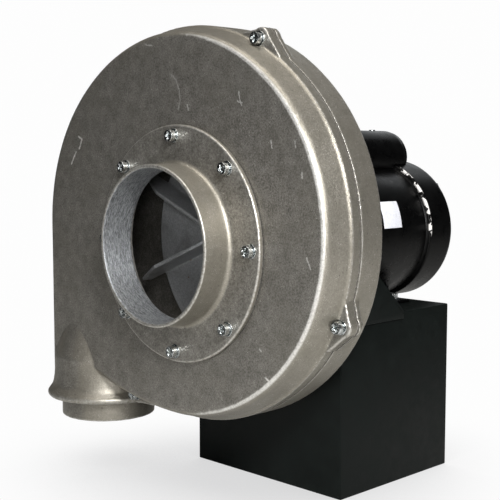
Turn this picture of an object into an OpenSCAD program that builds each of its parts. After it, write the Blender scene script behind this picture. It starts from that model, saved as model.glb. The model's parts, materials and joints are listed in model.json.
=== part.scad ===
// Combustion fan: cast scroll blower, overhung on a foot-mounted motor,
// standing on a folded sheet-steel pedestal.
// Origin: centre of the base bolt pattern on the floor.
// +Z is up, +Y runs from the inlet towards the motor, +X is right seen from the inlet.

/* [Overall] */
// Height of the shaft centre above the floor
shaft_height = 254; // [240:1:280]
// Distance from the base centre forward to the inlet lip
inlet_reach = 242; // [240:1:260]

/* [Inlet] */
// Outside diameter of the inlet collar
inlet_od = 152.4; // [148:0.1:156]
// Wall thickness of the inlet collar
inlet_wall = 3.8; // [3:0.1:6]
// Length of the collar in front of its flange
inlet_len = 30.5; // [20:0.5:40]
// Outside diameter of the inlet flange
inlet_flange_od = 226; // [222:1:232]
// Thickness of the inlet flange
inlet_flange_t = 5; // [4:0.5:7]
// Bolt circle of the inlet flange
inlet_pcd = 205; // [200:1:208]
// Number of inlet flange screws
inlet_screw_count = 8; // [4:1:12]

/* [Housing] */
// Depth of the housing from face to back
housing_depth = 91; // [88:1:96]
// Depth of the tapered band in front of the rim
band_depth = 25.5; // [22:0.5:28]
// Depth of the rim that belongs to the front cover
cover_rim = 11; // [9:1:14]
// Casting wall thickness
wall = 5; // [4:0.5:6]
// Radius of the rounded front edge of the scroll
edge_r = 7; // [5:0.5:9]
// Scroll radius along the bottom, towards the outlet
scroll_r0 = 390; // [380:1:400]
// Scroll radius at the lower right
scroll_r2 = 174; // [172:0.5:178]
// Scroll radius at the upper right
scroll_r3 = 188.5; // [186:0.5:190]
// Shift, to the left and upwards, of the arc between the bottom and the lower right
scroll_shift = 27.72; // [24:0.01:30]
// Shift, to the left and downwards, of the arc over the top
top_shift = 19.601; // [18:0.001:21]
// Shift, to the left and upwards, of the arc at the upper left
left_shift = 19.601; // [18:0.001:21]
// Height of a cover lug above the rim
lug_rise = 14; // [12:0.5:16]

/* [Outlet] */
// Outside diameter of the outlet spigot
outlet_od = 101.6; // [98:0.1:104]
// Wall thickness of the outlet spigot
outlet_wall = 4.5; // [3.5:0.5:5.5]
// Distance of the outlet axis left of the shaft
outlet_x = 175; // [173:0.5:177]
// Height of the spigot's end above the floor
outlet_z = 54; // [50:1:60]
// Radius of the stop bead around the outlet
bead_r = 66.5; // [64:0.5:68]

/* [Impeller] */
// Radius over the blade tips
wheel_r = 150; // [140:1:151]
// Radius of the back plate
backplate_r = 122; // [110:1:126]
// Number of blades
blade_count = 8; // [6:1:10]
// Blade thickness
blade_t = 4; // [3:0.5:5]
// Tangential offset of the blades from the shaft centre
blade_offset = 5.7; // [0:0.1:7]

/* [Motor] */
// Outside radius of the motor frame
motor_r = 74; // [73:0.5:75]
// Outside radius of the rear end bell
bell_r = 78; // [76.5:0.5:79]
// Front face of the motor, from the base centre
motor_front = -80; // [-81:0.5:-79]
// Rear face of the motor, from the base centre
motor_rear = 138; // [136:1:142]
// Shaft radius at the impeller
shaft_r = 6.35; // [6:0.05:7]
// Motor foot hole spacing across the shaft
foot_hole_x = 107.95; // [104:0.05:112]
// Motor foot hole spacing along the shaft
foot_hole_y = 69.85; // [66:0.05:74]

/* [Pedestal] */
// Width of the pedestal
ped_w = 207; // [204:1:210]
// Depth of the pedestal
ped_d = 178; // [176:1:182]
// Height of the pedestal
ped_h = 177.8; // [176:0.1:178.2]
// Sheet thickness
sheet = 3; // [2.5:0.5:3.5]
// Base hole spacing across the shaft
base_hole_x = 165; // [150:1:170]
// Base hole spacing along the shaft
base_hole_y = 140; // [130:1:146]
// Radius of the base holes
base_hole_r = 5.5; // [4:0.5:6]

/* [Hidden] */
$fn = 96;

// Stations along the shaft
lip_y = -inlet_reach;
flange_y = lip_y + inlet_len;
gasket_t = 1;
face_y = flange_y + inlet_flange_t + gasket_t;
rim_front_y = face_y + band_depth;
part_y = rim_front_y + cover_rim;
back_y = face_y + housing_depth;
rim_back_y = back_y - band_depth;
mid_y = face_y + housing_depth / 2;
ped_front_y = -ped_d / 2;
ped_rear_y = ped_d / 2;
bore_r = inlet_od / 2 - inlet_wall;

// Clearances
slack = 0.2;
run_fit = 0.05;
eps = 0.01;

// ---------- shared shapes ----------

// Cylinder along +Y from y0 to y1 about the line (x, z)
module y_cyl(r, y0, y1, x = 0, z = shaft_height) {
  translate([x, y0, z]) rotate([-90, 0, 0]) cylinder(h = y1 - y0, r = r);
}

// Cylinder along +Y about the line p = [x, z]
module y_cyl_at(r, y0, y1, p) {
  y_cyl(r, y0, y1, p[0], p[1]);
}

// Cylinder along +Z
module z_cyl(r, z0, z1, x, y) {
  translate([x, y, z0]) cylinder(h = z1 - z0, r = r);
}

// Full turn about the shaft of an outline given as [radius, y]
module shaft_turn(outline) {
  translate([0, 0, shaft_height]) rotate([-90, 0, 0]) rotate_extrude() polygon(outline);
}

// Ring about the shaft
module shaft_ring(r_in, r_out, y0, y1) {
  shaft_turn([[r_in, y0], [r_out, y0], [r_out, y1], [r_in, y1]]);
}

// Box given by two opposite corners
module span(lo, hi) {
  translate(lo) cube(hi - lo);
}

// Point on a circle in the XZ plane about the shaft
function polar(r, a) = [r * cos(a), shaft_height + r * sin(a)];

// Screw along -Y to +Y with a round head in front and a cross recess
module pan_screw(x, z, head_y, len, r, head_r, head_h) {
  difference() {
    union() {
      y_cyl(r, head_y, head_y + len, x, z);
      translate([x, head_y, z]) rotate([-90, 0, 0]) rotate_extrude()
        polygon([[0, -head_h], [head_r * 0.7, -head_h], [head_r * 0.93, -head_h * 0.86],
                 [head_r, -head_h * 0.66], [head_r, 0], [0, 0]]);
    }
    for (a = [0, 90])
      translate([x, head_y - head_h, z]) rotate([0, a + 20, 0])
        cube([head_r * 1.1, head_h, head_r * 0.22], center = true);
  }
}

// Flat washer along Y
module y_washer(x, z, y0, t, r_in, r_out) {
  difference() {
    y_cyl(r_out, y0, y0 + t, x, z);
    y_cyl(r_in, y0 - 1, y0 + t + 1, x, z);
  }
}

// Split lock washer along Y, with its slit pointing up
module y_lock_washer(x, z, y0) {
  difference() {
    y_washer(x, z, y0, lock_t, screw_r + slack, lock_r);
    span([x - lock_slit / 2, y0 - 1, z], [x + lock_slit / 2, y0 + lock_t + 1, z + 2 * lock_r]);
  }
}

// Hexagonal prism along +Y
module y_hex(x, z, y0, y1, across) {
  translate([x, y0, z]) rotate([-90, 0, 0]) cylinder(h = y1 - y0, d = across / cos(30), $fn = 6);
}

// Hexagonal prism along +Z
module z_hex(x, y, z0, z1, across) {
  translate([x, y, z0]) cylinder(h = z1 - z0, d = across / cos(30), $fn = 6);
}

// ---------- scroll housing ----------

// The scroll is six tangent arcs; each centre lies on the normal at the break
scroll_r1 = scroll_r2 + sqrt(2) * scroll_shift;
scroll_r4 = scroll_r3 + sqrt(2) * top_shift;
scroll_r5 = scroll_r4 - sqrt(2) * left_shift;
arc_r = [scroll_r0, scroll_r1, scroll_r2, scroll_r3, scroll_r4, scroll_r5];
arc_break = [-111, -90, -45, 0, 45, 135, 180];
arc2_c = [18, 11.5];
arc1_c = arc2_c + [-scroll_shift, scroll_shift];
arc0_c = arc1_c + [0, scroll_r0 - scroll_r1];
arc3_c = arc2_c - [scroll_r3 - scroll_r2, 0];
arc4_c = arc3_c + [-top_shift, -top_shift];
arc5_c = arc4_c + [-left_shift, left_shift];
arc_c = [arc0_c, arc1_c, arc2_c, arc3_c, arc4_c, arc5_c];
arc_core = [190, 0, 0, 0, 0, 0];
arc_last = 5;
edge_in = 14;
edge_stop = 74;
lip_step = 1.5;
edge_steps = 5;
back_in = 27;
back_chamfer = 3;

// Casting zone that holds the outlet neck
neck_z = shaft_height - 115;
run_z0 = shaft_height - 125;
run_z1 = shaft_height + arc5_c[1];

// Outside of the casting's section at radius r, as [radius, y] from front to back:
// rounded edge, tapered band, rim, and a back that falls away at some 45 degrees
function outer_section(r) = concat(
  [for (i = [0:edge_steps])
    let (a = edge_stop * i / edge_steps)
    [r - edge_in + edge_r * sin(a), face_y + edge_r - edge_r * cos(a)]],
  [[r - lip_step, rim_front_y], [r, rim_front_y], [r, rim_back_y],
   [r - back_in + back_chamfer, back_y - back_chamfer], [r - back_in, back_y]]);

// Inside of the casting's section
function inner_section(r) =
  [[r - edge_in - lip_step, face_y + wall], [r - edge_in + lip_step, face_y + wall + 2 * lip_step],
   [r - wall - lip_step, rim_front_y], [r - wall - lip_step, rim_back_y - 2],
   [r - back_in - back_chamfer, back_y - wall]];

function section(r, inside) = inside ? inner_section(r) : outer_section(r);

// One arc of the scroll, filled to its core radius
module scroll_arc(i, inside, from_a) {
  s = section(arc_r[i], inside);
  y_first = s[0][1];
  y_last = s[len(s) - 1][1];
  outline = concat([[arc_core[i], y_first]], s, [[arc_core[i], y_last]]);
  translate([arc_c[i][0], 0, shaft_height + arc_c[i][1]]) rotate([90, 0, 0])
    rotate_extrude(angle = arc_break[i + 1] - from_a, start = from_a)
      polygon([for (p = outline) [p[0], -p[1]]]);
}

// Straight run of the scroll's left side, from z0 up to the last arc
module scroll_run(inside, x_in, z0) {
  s = section(scroll_r5, inside);
  y_first = s[0][1];
  y_last = s[len(s) - 1][1];
  outline = concat([[x_in, y_first]], [for (p = s) [arc5_c[0] - p[0], p[1]]], [[x_in, y_last]]);
  translate([0, 0, z0]) linear_extrude(run_z1 - z0) polygon(outline);
}

// Outlet neck, bead and spigot as one turned solid
spigot_r = outlet_od / 2;
outlet_bore_r = spigot_r - outlet_wall;
bead_z = outlet_z + 21;
bead_h = 8;
flare_steps = 5;
neck_r = 58;
neck_top_r = 36;
neck_top_z = outlet_z + 132;
neck_mid_z = outlet_z + 66;
groove_r = bead_r - 3;

function bead_arc() =
  [for (i = [0:flare_steps])
    let (a = -75 + 150 * i / flare_steps)
    [bead_r - bead_h / 2 + bead_h / 2 * cos(a), bead_z + bead_h / 2 + bead_h / 2 * sin(a)]];

function neck_flare() =
  [for (i = [0:flare_steps])
    let (t = i / flare_steps)
    [groove_r - (groove_r - neck_r) * sin(90 * t), bead_z + bead_h + 1.5 + 32 * (1 - cos(90 * t))]];

module outlet_neck() {
  translate([-outlet_x, mid_y, 0]) rotate_extrude()
    polygon(concat([[0, outlet_z], [spigot_r, outlet_z], [spigot_r, bead_z]], bead_arc(), neck_flare(),
                   [[neck_r, neck_mid_z], [neck_top_r, neck_top_z], [0, neck_top_z]]));
}

// The left half of the run goes on down into the flare of the neck
run_left_z0 = bead_z + bead_h + 5;

module scroll_outside() {
  for (i = [0:arc_last]) scroll_arc(i, false, arc_break[i]);
  scroll_run(false, -60, run_z0);
  scroll_run(false, -outlet_x, run_left_z0);
  outlet_neck();
}

tongue_a = -105;
wheel_gap = 7;

// Room for the wheel, following its back
wheel_space = [[0, face_y + 2 * wall], [wheel_r + wheel_gap, face_y + 2 * wall],
               [wheel_r + wheel_gap, rim_back_y - 1], [wheel_r + 2, back_y - 2 * wall],
               [wheel_r - 22, back_y - wall], [0, back_y - wall]];
passage_top = shaft_height - 95;
passage_z0 = run_z0 + wall + 2;

module scroll_inside() {
  scroll_arc(0, true, tongue_a);
  for (i = [1:arc_last]) scroll_arc(i, true, arc_break[i]);
  scroll_run(true, -outlet_x + outlet_bore_r, passage_z0);
  scroll_run(true, -60, passage_top);
  shaft_turn(wheel_space);
  z_cyl(outlet_bore_r, outlet_z - 1, passage_z0 + 5, -outlet_x, mid_y);
}

// Lugs that join the front cover to the rear housing
lug_a = [-19, 66.5, 151, 239];
lug_sink = [0, 0, 0, 2];
lug_round = 10.5;
lug_half = 8.5;
lug_steps = 6;

// Distance from the shaft to the rim at angle a, for the arc that covers it
function ray_hit(a, i) =
  let (b = cos(a) * arc_c[i][0] + sin(a) * arc_c[i][1],
       cc = arc_c[i][0] * arc_c[i][0] + arc_c[i][1] * arc_c[i][1])
  b + sqrt(b * b - cc + arc_r[i] * arc_r[i]);
function lug_arc(a) = a < 0 ? 2 : a < 45 ? 3 : a < 135 ? 4 : a < 190 ? 5 : 0;
function lug_rim(k) = ray_hit(lug_a[k], lug_arc(lug_a[k])) - lug_sink[k];
lug_count = len(lug_a);
lug_c = [for (k = [0:lug_count - 1]) polar(lug_rim(k) + lug_rise - lug_round, lug_a[k])];

module lug_outline(k) {
  a = lug_a[k];
  rim = lug_rim(k);
  polygon(concat(
    [polar(rim - 12, a - lug_half), polar(rim - 0.5, a - lug_half)],
    [for (i = [0:lug_steps])
      let (t = a - 55 + 110 * i / lug_steps)
      lug_c[k] + lug_round * [cos(t), sin(t)]],
    [polar(rim - 0.5, a + lug_half), polar(rim - 12, a + lug_half)]));
}

module lugs(y0, y1) {
  for (k = [0:lug_count - 1])
    translate([0, y1, 0]) rotate([90, 0, 0]) linear_extrude(y1 - y0) lug_outline(k);
}

screw_r = 3.1;
screw_head_r = 5.6;
screw_head_h = 4.4;
washer_t = 1.4;
washer_r = 6.8;
lock_t = 2.2;
lock_r = 5.2;
lock_slit = 1;
stack_t = washer_t + lock_t;

module lug_holes(r, y0, y1) {
  for (c = lug_c) y_cyl(r, y0, y1, c[0], c[1]);
}

// Spot faces in front of the lugs, for the washers and screw heads
spot_r = washer_r + 0.3;
spot_depth = stack_t + screw_head_h + 0.6;

module inlet_holes(r, y0, y1) {
  for (i = [0:inlet_screw_count - 1]) {
    p = polar(inlet_pcd / 2, 360 * i / inlet_screw_count);
    y_cyl(r, y0, y1, p[0], p[1]);
  }
}

face_bore_r = bore_r + 5;
big = 400;

// Space of the outlet neck, which is cast in one with the front cover
module neck_zone(gap) {
  span([-big, -big, 0], [-outlet_x, 0, neck_z + gap]);
  z_cyl(bead_r + 1 + gap, 0, neck_z + gap, -outlet_x, mid_y);
}

module front_zone() {
  span([-big, -big, 0], [big, part_y, 2 * big]);
  neck_zone(0);
}

module front_cover() {
  color("#6b6660")
  difference() {
    intersection() {
      union() {
        scroll_outside();
        lugs(rim_front_y, part_y);
      }
      front_zone();
    }
    scroll_inside();
    y_cyl(face_bore_r, face_y - 1, face_y + wall + 1);
    inlet_holes(screw_r, face_y - 1, face_y + wall + 1);
    lug_holes(screw_r + slack, rim_front_y - 1, part_y + 1);
    lug_holes(spot_r, rim_front_y - spot_depth, rim_front_y);
  }
}

pad_r = 62;
pad_hollow_r = 36;
pad_y = ped_front_y - sheet;
pad_pcd = 98;
pad_a = [45, 135, 225, 315];
pad_bolt_r = 3.97;
pad_washer_r = 8.5;
seal_hole_r = 11;
seal_pcd_r = 24;
seal_screw_r = 2;
seal_a = [90, 210, 330];
joint_y = part_y + gasket_t;
lug_back_y = joint_y + 6;

module rear_housing() {
  color("#6b6660")
  difference() {
    union() {
      intersection() {
        union() {
          scroll_outside();
          lugs(joint_y, lug_back_y);
        }
        span([-big, joint_y, 0], [big, big, 2 * big]);
      }
      shaft_ring(pad_hollow_r, pad_r, back_y - wall / 2, pad_y);
    }
    scroll_inside();
    neck_zone(slack);
    y_cyl(seal_hole_r, back_y - 2 * wall, back_y + 1);
    lug_holes(screw_r, joint_y - 1, lug_back_y + 0.5);
    for (a = pad_a)
      y_cyl_at(pad_bolt_r, pad_y - 18, pad_y + 1, polar(pad_pcd / 2, a));
    for (a = seal_a)
      y_cyl_at(seal_screw_r, back_y - wall - 1, back_y + 1, polar(seal_pcd_r, a));
  }
}

// The end of the tongue has no gasket
tongue_lo = [-130, part_y - 1, 100];
tongue_hi = [-99, joint_y + 1, 160];

module housing_gasket() {
  color("#2a2a28")
  difference() {
    intersection() {
      union() {
        scroll_outside();
        lugs(rim_front_y, rim_back_y);
      }
      span([-big, part_y, 0], [big, joint_y, 2 * big]);
    }
    scroll_inside();
    neck_zone(slack);
    span(tongue_lo, tongue_hi);
    lug_holes(screw_r + slack, part_y - 1, joint_y + 1);
  }
}

housing_screw_len = 21.5;

module housing_screws() {
  color("#b9bcbc")
  for (c = lug_c)
    pan_screw(c[0], c[1], rim_front_y - stack_t, housing_screw_len,
              screw_r - run_fit, screw_head_r, screw_head_h);
}

module housing_lock_washers() {
  color("#bcbfbf")
  for (c = lug_c) y_lock_washer(c[0], c[1], rim_front_y - stack_t);
}

module housing_washers() {
  color("#c4c6c6")
  for (c = lug_c)
    y_washer(c[0], c[1], rim_front_y - washer_t, washer_t, screw_r + slack, washer_r);
}

// ---------- inlet ----------

collar_fillet = 5;
lip_edge = 0.6;
fillet_steps = 5;

function collar_foot() =
  [for (i = [0:fillet_steps])
    let (a = 180 + 90 * i / fillet_steps)
    [inlet_od / 2 + collar_fillet + collar_fillet * cos(a),
     flange_y - collar_fillet - collar_fillet * sin(a)]];

module inlet_collar() {
  color("#8a8680")
  difference() {
    shaft_turn(concat(
      [[bore_r, lip_y + lip_edge], [bore_r + lip_edge, lip_y],
       [inlet_od / 2 - lip_edge, lip_y], [inlet_od / 2, lip_y + lip_edge]],
      collar_foot(),
      [[inlet_flange_od / 2 - 1, flange_y], [inlet_flange_od / 2, flange_y + 1],
       [inlet_flange_od / 2, flange_y + inlet_flange_t], [bore_r, flange_y + inlet_flange_t]]));
    inlet_holes(screw_r + slack, flange_y - 1, face_y);
  }
}

module inlet_gasket() {
  color("#26241f")
  difference() {
    shaft_ring(face_bore_r, inlet_flange_od / 2 - 1.5, face_y - gasket_t, face_y);
    inlet_holes(screw_r + slack, face_y - 2, face_y + 1);
  }
}

inlet_screw_len = 16;

module inlet_screws() {
  color("#b9bcbc")
  for (i = [0:inlet_screw_count - 1]) {
    p = polar(inlet_pcd / 2, 360 * i / inlet_screw_count);
    pan_screw(p[0], p[1], flange_y - stack_t, inlet_screw_len,
              screw_r - run_fit, screw_head_r, screw_head_h);
  }
}

module inlet_lock_washers() {
  color("#bcbfbf")
  for (i = [0:inlet_screw_count - 1]) {
    p = polar(inlet_pcd / 2, 360 * i / inlet_screw_count);
    y_lock_washer(p[0], p[1], flange_y - stack_t);
  }
}

module inlet_washers() {
  color("#c4c6c6")
  for (i = [0:inlet_screw_count - 1]) {
    p = polar(inlet_pcd / 2, 360 * i / inlet_screw_count);
    y_washer(p[0], p[1], flange_y - washer_t, washer_t, screw_r + slack, washer_r);
  }
}

// ---------- shaft seal ----------

seal_r = 18;
seal_t = 4;
retainer_t = 2;
retainer_r = 29;

module shaft_seal() {
  color("#1c1c1c")
  shaft_ring(shaft_r + run_fit, seal_r, back_y, back_y + seal_t);
}

module seal_retainer() {
  color("#9a9c9c")
  difference() {
    shaft_turn([[seal_r + slack, back_y], [retainer_r, back_y], [retainer_r, back_y + seal_t + retainer_t],
                [shaft_r + 2, back_y + seal_t + retainer_t], [shaft_r + 2, back_y + seal_t],
                [seal_r + slack, back_y + seal_t]]);
    for (a = seal_a)
      y_cyl_at(seal_screw_r + slack, back_y - 1, back_y + 10, polar(seal_pcd_r, a));
  }
}

module seal_screws() {
  color("#b9bcbc")
  for (a = seal_a) {
    p = polar(seal_pcd_r, a);
    top = back_y + seal_t + retainer_t;
    y_cyl(seal_screw_r - run_fit, back_y - wall + 1, top + eps, p[0], p[1]);
    y_cyl(3.6, top, top + 2.4, p[0], p[1]);
  }
}

// ---------- impeller ----------

disc_y = face_y + 78.5;
disc_t = 4;
hub_r = 20;
hub_front_y = face_y + 47;
hub_rear_y = disc_y + disc_t + 1.5;
blade_front_y = face_y + 47.5;
blade_flat_r = 102;
tip_front_y = face_y + 68;
tip_rear_y = disc_y + 2;
shaft_end_y = hub_front_y + 10;
cbore_r = 11.5;
key_w = 4.76;
key_y0 = shaft_end_y + 6;
key_y1 = key_y0 + 22;
bolt_shank_r = 2.4;

module blade(a) {
  translate([0, 0, shaft_height]) rotate([0, -a, 0])
    translate([0, 0, -blade_offset - blade_t / 2])
      linear_extrude(blade_t)
        polygon([[hub_r - 7, blade_front_y], [blade_flat_r, blade_front_y], [wheel_r, tip_front_y],
                 [wheel_r, tip_rear_y], [backplate_r - 4, tip_rear_y], [hub_r - 7, tip_rear_y]]);
}

module impeller() {
  color("#8e9090")
  difference() {
    union() {
      shaft_turn([[0, hub_front_y], [hub_r - 2, hub_front_y], [hub_r, hub_front_y + 2], [hub_r, disc_y],
                  [backplate_r, disc_y], [backplate_r, disc_y + disc_t], [hub_r, disc_y + disc_t],
                  [hub_r, hub_rear_y], [0, hub_rear_y]]);
      for (i = [0:blade_count - 1]) blade(157.2 + 360 * i / blade_count);
    }
    y_cyl(shaft_r + 0.02, hub_front_y - 1, hub_rear_y + 1);
    y_cyl(cbore_r, hub_front_y - 1, hub_front_y + 6);
    span([-key_w / 2, key_y0, shaft_height], [key_w / 2, hub_rear_y + 1, shaft_height + shaft_r + 2.4]);
  }
}

module impeller_key() {
  color("#6f7274")
  span([-key_w / 2 + 0.02, key_y0 + 0.1, shaft_height + shaft_r - 2.36],
       [key_w / 2 - 0.02, key_y1 - 0.1, shaft_height + shaft_r + 2.36]);
}

module impeller_washer() {
  color("#b0b3b3")
  y_washer(0, shaft_height, hub_front_y + 6 - 2.5, 2.5, bolt_shank_r + slack, cbore_r - 0.5);
}

module impeller_bolt() {
  color("#a5a8a8")
  union() {
    y_hex(0, shaft_height, hub_front_y - 1.5, hub_front_y + 3.5, 10);
    y_cyl(bolt_shank_r, hub_front_y + 3, shaft_end_y + 14);
  }
}

// ---------- bracket and pedestal ----------

bracket_top = shaft_height + 70;
bracket_foot = 140;
gusset_z = 170.5;
gusset_y = 7;
gusset_top = 264;
bracket_bore_r = 44;
bolt_r = 3.97;
bracket_y = ped_front_y;
bracket_bolt_x = [-78, 78];
bracket_bolt_z = [150, 166];

module gusset(x) {
  translate([x, 0, 0]) rotate([90, 0, 90]) linear_extrude(sheet)
    polygon([[bracket_y - sheet, gusset_z], [gusset_y, gusset_z], [gusset_y, ped_h + 1],
             [bracket_y + 4, gusset_top], [bracket_y - sheet, gusset_top]]);
}

module housing_bracket() {
  color("#1b1f20")
  difference() {
    union() {
      span([-ped_w / 2 - sheet, bracket_y - sheet, bracket_foot],
           [ped_w / 2 + sheet, bracket_y, bracket_top]);
      gusset(ped_w / 2);
      gusset(-ped_w / 2 - sheet);
    }
    y_cyl(bracket_bore_r - 8, bracket_y - 5, bracket_y + 5);
    for (a = pad_a)
      y_cyl_at(pad_bolt_r + slack, bracket_y - 5, bracket_y + 5, polar(pad_pcd / 2, a));
    for (x = bracket_bolt_x) for (z = bracket_bolt_z)
      y_cyl(bolt_r + slack, bracket_y - 5, bracket_y + 5, x, z);
  }
}

module bracket_bolts() {
  color("#8c9092")
  for (x = bracket_bolt_x) for (z = bracket_bolt_z) union() {
    y_hex(x, z, bracket_y - sheet - 5, bracket_y - sheet, 12.7);
    y_cyl(bolt_r, bracket_y - sheet - 1, bracket_y + sheet + 9, x, z);
  }
}

module bracket_nuts() {
  color("#9a9ea0")
  for (x = bracket_bolt_x) for (z = bracket_bolt_z) difference() {
    y_hex(x, z, bracket_y + sheet, bracket_y + sheet + 6.5, 12.7);
    y_cyl(bolt_r + run_fit, bracket_y, bracket_y + 20, x, z);
  }
}

module pad_bolts() {
  color("#8c9092")
  for (a = pad_a) {
    p = polar(pad_pcd / 2, a);
    union() {
      y_hex(p[0], p[1], bracket_y + washer_t, bracket_y + washer_t + 5, 12.7);
      y_cyl(pad_bolt_r - run_fit, pad_y - 15, bracket_y + washer_t + 1, p[0], p[1]);
    }
  }
}

module pad_washers() {
  color("#9a9ea0")
  for (a = pad_a) {
    p = polar(pad_pcd / 2, a);
    y_washer(p[0], p[1], bracket_y, washer_t, pad_bolt_r + slack, pad_washer_r);
  }
}

flange_w = 32;

module foot_holes(r, z0, z1) {
  for (x = [-foot_hole_x / 2, foot_hole_x / 2]) for (y = foot_ys) z_cyl(r, z0, z1, x, y);
}

module pedestal() {
  color("#141a1a")
  difference() {
    span([-ped_w / 2, ped_front_y, 0], [ped_w / 2, ped_rear_y, ped_h]);
    span([-ped_w / 2 + sheet, ped_front_y + sheet, sheet],
         [ped_w / 2 - sheet, ped_rear_y - sheet, ped_h - sheet]);
    span([-ped_w / 2 + flange_w, ped_front_y + flange_w, -1],
         [ped_w / 2 - flange_w, ped_rear_y - flange_w, sheet + 1]);
    foot_holes(foot_bolt_r + 0.3, ped_h - 5, ped_h + 1);
    for (x = [-base_hole_x / 2, base_hole_x / 2])
      for (y = [-base_hole_y / 2, base_hole_y / 2])
        z_cyl(base_hole_r, -1, sheet + 1, x, y);
    for (x = bracket_bolt_x) for (z = bracket_bolt_z)
      y_cyl(bolt_r + slack, ped_front_y - 1, ped_front_y + 5, x, z);
  }
}

// ---------- motor ----------

frame_t = 2.5;
lead_hole_r = 6;
lead_hole_y = 30;
frame_y0 = motor_front + 22;
frame_y1 = motor_rear - 50;
bearing_r = 20;
bearing_bore = 8.5;
bearing_w = 12;
boss_r = 26;
shaft_eye_r = 11;
front_bearing_y = motor_front + 6;
rear_bearing_y = motor_rear - 24;
foot_y0 = motor_front + 63.5;
foot_ys = [foot_y0, foot_y0 + foot_hole_y];
foot_bolt_r = 3.97;
through_r = 2.4;
through_pcr = 67.6;
through_a = [45, 135, 225, 315];

module through_holes(r, y0, y1) {
  for (a = through_a) y_cyl_at(r, y0, y1, polar(through_pcr, a));
}

module motor_frame() {
  color("#121315")
  difference() {
    shaft_ring(motor_r - frame_t, motor_r, frame_y0, frame_y1);
    z_cyl(lead_hole_r, shaft_height + motor_r - 2 * frame_t, shaft_height + motor_r + 1, cap_x, lead_hole_y);
  }
}

module front_end_bell() {
  color("#16181a")
  difference() {
    shaft_turn([[shaft_eye_r, motor_front], [30, motor_front], [34, motor_front + 3],
                [motor_r - 8, motor_front + 5], [motor_r, motor_front + 12],
                [motor_r, frame_y0], [motor_r - frame_t, frame_y0],
                [motor_r - frame_t - 0.2, frame_y0 + 5], [motor_r - 7.5, frame_y0 + 5],
                [motor_r - 14, motor_front + 12], [boss_r, motor_front + 10],
                [boss_r, front_bearing_y + bearing_w], [bearing_r, front_bearing_y + bearing_w],
                [bearing_r, front_bearing_y], [shaft_eye_r, front_bearing_y]]);
    through_holes(through_r, motor_front + 8, frame_y0 + 6);
  }
}

slot_count = 24;
slot_w = 5.2;
bell_y0 = motor_rear - 48;
lead_slot = 13;
lead_c = [-46, shaft_height - 20];

module rear_end_bell() {
  color("#16181a")
  difference() {
    shaft_turn([[0, motor_rear], [40, motor_rear], [bell_r - 9, motor_rear - 1],
                [bell_r - 2.5, motor_rear - 4.5], [bell_r, motor_rear - 10],
                [bell_r, bell_y0], [motor_r + 0.1, bell_y0],
                [motor_r + 0.1, frame_y1 + 0.1], [motor_r - frame_t - 0.2, frame_y1 + 0.1],
                [motor_r - frame_t - 0.2, frame_y1 - 4],
                [motor_r - 7.5, frame_y1 - 4], [motor_r - 7.5, motor_rear - 10],
                [bell_r - 14, motor_rear - 5], [boss_r, motor_rear - 5],
                [boss_r, rear_bearing_y], [bearing_r, rear_bearing_y],
                [bearing_r, rear_bearing_y + bearing_w], [14, rear_bearing_y + bearing_w],
                [14, motor_rear - 4], [0, motor_rear - 4]]);
    through_holes(through_r + slack, frame_y1 - 6, motor_rear + 1);
    for (i = [0:slot_count - 1]) if (i != lead_slot)
      translate([0, 0, shaft_height]) rotate([0, -360 * (i + 0.5) / slot_count, 0])
        span([bell_r - 34, motor_rear - 8, -slot_w / 2], [bell_r - 16, motor_rear + 1, slot_w / 2]);
    y_cyl_at(6, motor_rear - 10, motor_rear + 1, lead_c);
  }
}

module through_bolts() {
  color("#7c8082")
  for (a = through_a) {
    p = polar(through_pcr, a);
    union() {
      y_cyl(through_r - run_fit, motor_front + 10, motor_rear + 0.5, p[0], p[1]);
      y_hex(p[0], p[1], motor_rear + 0.2, motor_rear + 3.5, 8);
    }
  }
}

base_t = 3.2;
base_x = 68;
cradle_x = 44;
base_y0 = foot_y0 - 14;
base_y1 = foot_y0 + foot_hole_y + 14;

module motor_base() {
  color("#121416")
  difference() {
    union() {
      span([-base_x, base_y0, ped_h], [base_x, base_y1, ped_h + base_t]);
      span([-cradle_x, base_y0 + 6, ped_h + 1], [cradle_x, base_y0 + 18, shaft_height - 50]);
      span([-cradle_x, base_y1 - 18, ped_h + 1], [cradle_x, base_y1 - 6, shaft_height - 50]);
    }
    y_cyl(motor_r, base_y0 - 1, base_y1 + 1);
    foot_holes(foot_bolt_r + 0.3, ped_h - 1, ped_h + 10);
  }
}

module motor_bolts() {
  color("#8c9092")
  for (x = [-foot_hole_x / 2, foot_hole_x / 2]) for (y = foot_ys) union() {
    z_hex(x, y, ped_h + base_t + washer_t, ped_h + base_t + washer_t + 5, 12.7);
    z_cyl(foot_bolt_r, ped_h - 14, ped_h + base_t + washer_t + 1, x, y);
  }
}

module motor_washers() {
  color("#9a9ea0")
  for (x = [-foot_hole_x / 2, foot_hole_x / 2]) for (y = foot_ys) difference() {
    z_cyl(9, ped_h + base_t, ped_h + base_t + washer_t, x, y);
    z_cyl(foot_bolt_r + slack, ped_h, ped_h + 20, x, y);
  }
}

module motor_nuts() {
  color("#9a9ea0")
  for (x = [-foot_hole_x / 2, foot_hole_x / 2]) for (y = foot_ys) difference() {
    z_hex(x, y, ped_h - sheet - 6.5, ped_h - sheet, 12.7);
    z_cyl(foot_bolt_r + run_fit, ped_h - 20, ped_h, x, y);
  }
}

core_y0 = motor_front + 52;
core_y1 = core_y0 + 70;
core_r = 64.5;
gap_r = 40;
air_gap = 0.4;

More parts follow.
